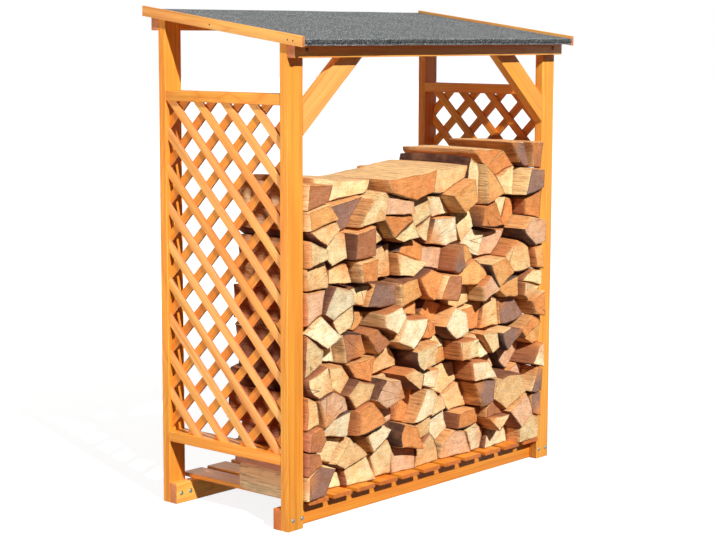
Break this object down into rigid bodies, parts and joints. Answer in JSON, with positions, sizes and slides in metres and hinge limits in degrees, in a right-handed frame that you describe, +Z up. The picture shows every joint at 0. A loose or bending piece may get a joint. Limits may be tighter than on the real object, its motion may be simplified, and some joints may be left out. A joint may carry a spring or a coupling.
{
  "type": "log store",
  "caption": "Free-standing timber log store with a felted pent roof, lattice sides, an open front and back and a slatted floor, stacked with split firewood.",
  "frame": {"origin": "on the ground, under the middle of the roof's outline", "axes": "+X along the front to the viewer's right, +Y from the open front to the back, +Z up"},
  "size_m": [1.41, 0.708, 1.63],
  "materials": {
    "stained_pine": "honey-orange stained planed pine, satin",
    "roof_felt": "grey mineral-surfaced bitumen felt, matt and gritty",
    "firewood": "raw split wood with patches of bark"
  },
  "bodies": {
    "root": {"firewood_course_01": "firewood", "firewood_course_02": "firewood", "firewood_course_03": "firewood", "firewood_course_04": "firewood", "firewood_course_05": "firewood", "firewood_course_06": "firewood", "firewood_course_07": "firewood", "firewood_course_08": "firewood", "firewood_course_09": "firewood", "firewood_course_10": "firewood", "firewood_course_11": "firewood", "firewood_course_12": "firewood", "floor_slat_01": "stained_pine", "floor_slat_02": "stained_pine", "floor_slat_03": "stained_pine", "floor_slat_04": "stained_pine", "floor_slat_05": "stained_pine", "floor_slat_06": "stained_pine", "floor_slat_07": "stained_pine", "floor_slat_08": "stained_pine", "floor_slat_09": "stained_pine", "floor_slat_10": "stained_pine", "floor_slat_11": "stained_pine", "front_floor_rail": "stained_pine", "front_left_brace": "stained_pine", "front_left_post": "stained_pine", "front_right_brace": "stained_pine", "front_right_post": "stained_pine", "front_roof_beam": "stained_pine", "left_bargeboard": "stained_pine", "left_lattice": "stained_pine", "left_panel_bottom_rail": "stained_pine", "left_panel_top_rail": "stained_pine", "rear_floor_rail": "stained_pine", "rear_left_post": "stained_pine", "rear_right_post": "stained_pine", "rear_roof_beam": "stained_pine", "right_bargeboard": "stained_pine", "right_lattice": "stained_pine", "right_panel_bottom_rail": "stained_pine", "right_panel_top_rail": "stained_pine", "roof_deck": "stained_pine", "roof_felt": "roof_felt"}
  },
  "joints": []
}
